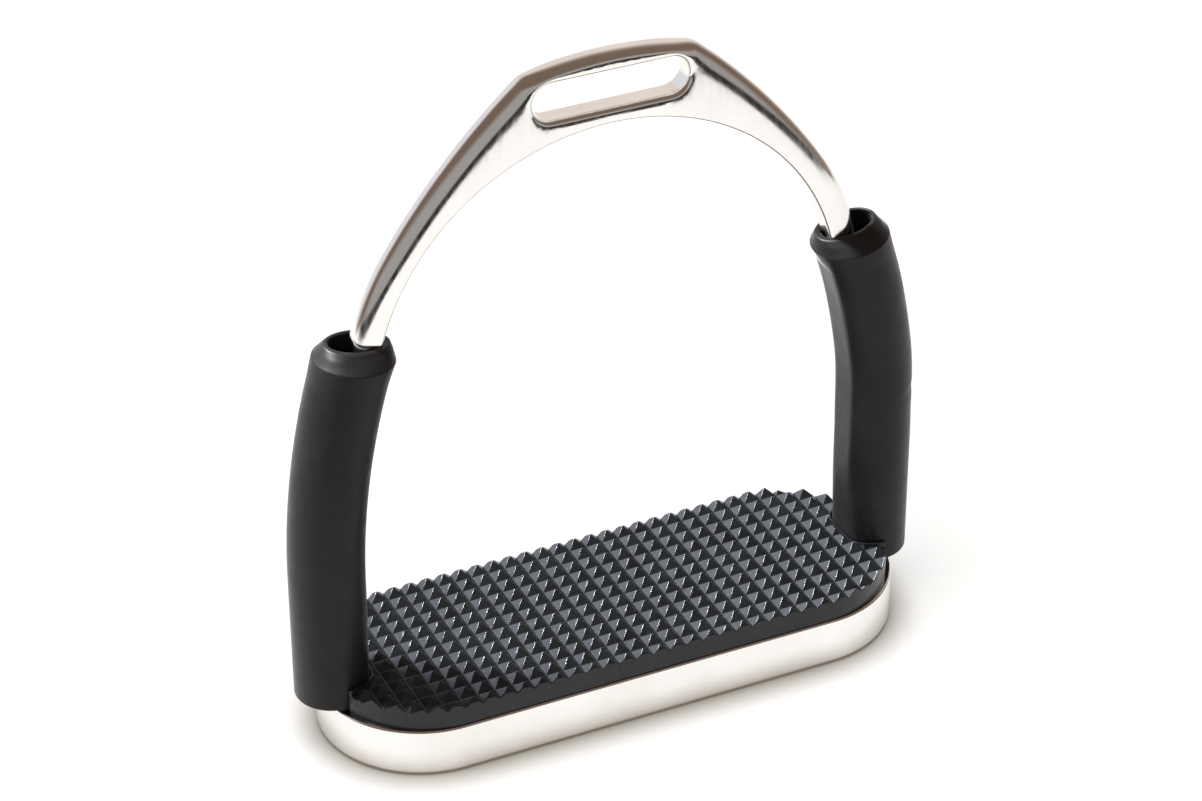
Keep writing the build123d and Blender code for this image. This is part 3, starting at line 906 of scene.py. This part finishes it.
def make_world():
    """White to the camera and soft white to matte surfaces.

    Glossy ones see a dim warm room with a pale back, cooler on the left, and a neutral front.
    """
    world = bpy.data.worlds.new("studio")
    bpy.context.scene.world = world
    world.use_nodes = True
    tree = world.node_tree
    tree.nodes.clear()
    add, link = tree.nodes.new, tree.links.new

    def background(colour, strength=1.0):
        node = add("ShaderNodeBackground")
        node.inputs["Color"].default_value = (*colour, 1)
        node.inputs["Strength"].default_value = strength
        return node.outputs[0]

    def mix(factor, a, b):
        node = add("ShaderNodeMixShader")
        link(factor, node.inputs[0])
        link(a, node.inputs[1])
        link(b, node.inputs[2])
        return node.outputs[0]

    def range_of(value, low, high):
        node = add("ShaderNodeMapRange")
        node.interpolation_type = "SMOOTHSTEP"
        link(value, node.inputs["Value"])
        node.inputs["From Min"].default_value = low
        node.inputs["From Max"].default_value = high
        return node.outputs[0]

    def times(a, b):
        node = add("ShaderNodeMath")
        node.operation = "MULTIPLY"
        link(a, node.inputs[0])
        link(b, node.inputs[1])
        return node.outputs[0]

    split = add("ShaderNodeSeparateXYZ")
    link(add("ShaderNodeTexCoord").outputs["Generated"], split.inputs[0])
    x, y, z = split.outputs
    above = range_of(z, -0.36, 0.05)
    front = times(range_of(y, -0.30, -0.62), range_of(z, 0.42, 0.12))
    back = times(range_of(y, -0.1, 0.75), range_of(z, 1.0, 0.52))
    back_left = times(back, range_of(x, 0.10, -0.45))
    room = mix(above, background((0.40, 0.35, 0.31)), background((0.185, 0.130, 0.100)))
    room = mix(front, room, background((0.36, 0.345, 0.33)))
    room = mix(back, room, background((0.84, 0.75, 0.69)))
    room = mix(back_left, room, background((0.80, 0.80, 0.86)))
    path = add("ShaderNodeLightPath")
    soft = background((1.0, 0.985, 0.965), 0.48)
    lit = mix(path.outputs["Is Glossy Ray"], soft, room)
    shown = mix(path.outputs["Is Camera Ray"], lit, background((1, 1, 1)))
    link(shown, add("ShaderNodeOutputWorld").inputs["Surface"])


def make_light(name, direction, radius, power, colour, only=None):
    """Soft round light that faces the object from a direction.

    It lights the pieces of the collection only, or everything, and then isn't seen in reflections.
    """
    aim, direction = Vector((0, 0, 0.05)), Vector(direction).normalized()
    data = bpy.data.lights.new(name, "AREA")
    data.shape = "DISK"
    data.size = 2 * radius
    data.energy = power
    data.color = colour
    light = bpy.data.objects.new(name, data)
    bpy.context.scene.collection.objects.link(light)
    light.location = aim + direction * LIGHT_DISTANCE
    light.rotation_euler = (-direction).to_track_quat("-Z", "Y").to_euler()
    light.visible_glossy = only is not None
    if only:
        light.light_linking.receiver_collection = only


def make_camera():
    """Long lens from the front left, above the foot opening."""
    right = Vector((0.90529, -0.42478, -0.00282))
    up = Vector((0.23075, 0.48618, 0.84284))
    forward = Vector((0.35665, 0.76367, -0.53815))
    place = (-0.30755, -0.65499, 0.53577)
    data = bpy.data.cameras.new("camera")
    data.sensor_width = 36.0
    data.lens = 110.8153
    data.clip_start, data.clip_end = 0.01, 20
    camera = bpy.data.objects.new("camera", data)
    bpy.context.scene.collection.objects.link(camera)
    turned = Matrix((right, up, -forward)).transposed().to_4x4()
    camera.matrix_world = Matrix.Translation(place) @ turned
    bpy.context.scene.camera = camera


make_floor()
make_card()
make_world()
rubber = bpy.data.collections.new("rubber pieces")
for piece in bpy.data.objects:
    if piece.type == "MESH" and piece.name.startswith(("tread_studs", "left_sleeve_",
                                                       "right_sleeve_")):
        rubber.objects.link(piece)
make_light("overhead", (-0.45, -0.20, 0.87), radius=0.75, power=9.4, colour=(1.0, 0.985, 0.965))
make_light("window", (-0.47, 0.76, 0.45), radius=0.30, power=2.4, colour=(0.80, 0.90, 1.10),
           only=rubber)
make_light("glint", (-0.45, 0.35, 0.82), radius=0.07, power=56.0, colour=(0.92, 0.96, 1.0),
           only=rubber)
make_camera()
bpy.context.scene.view_settings.view_transform = "Standard"
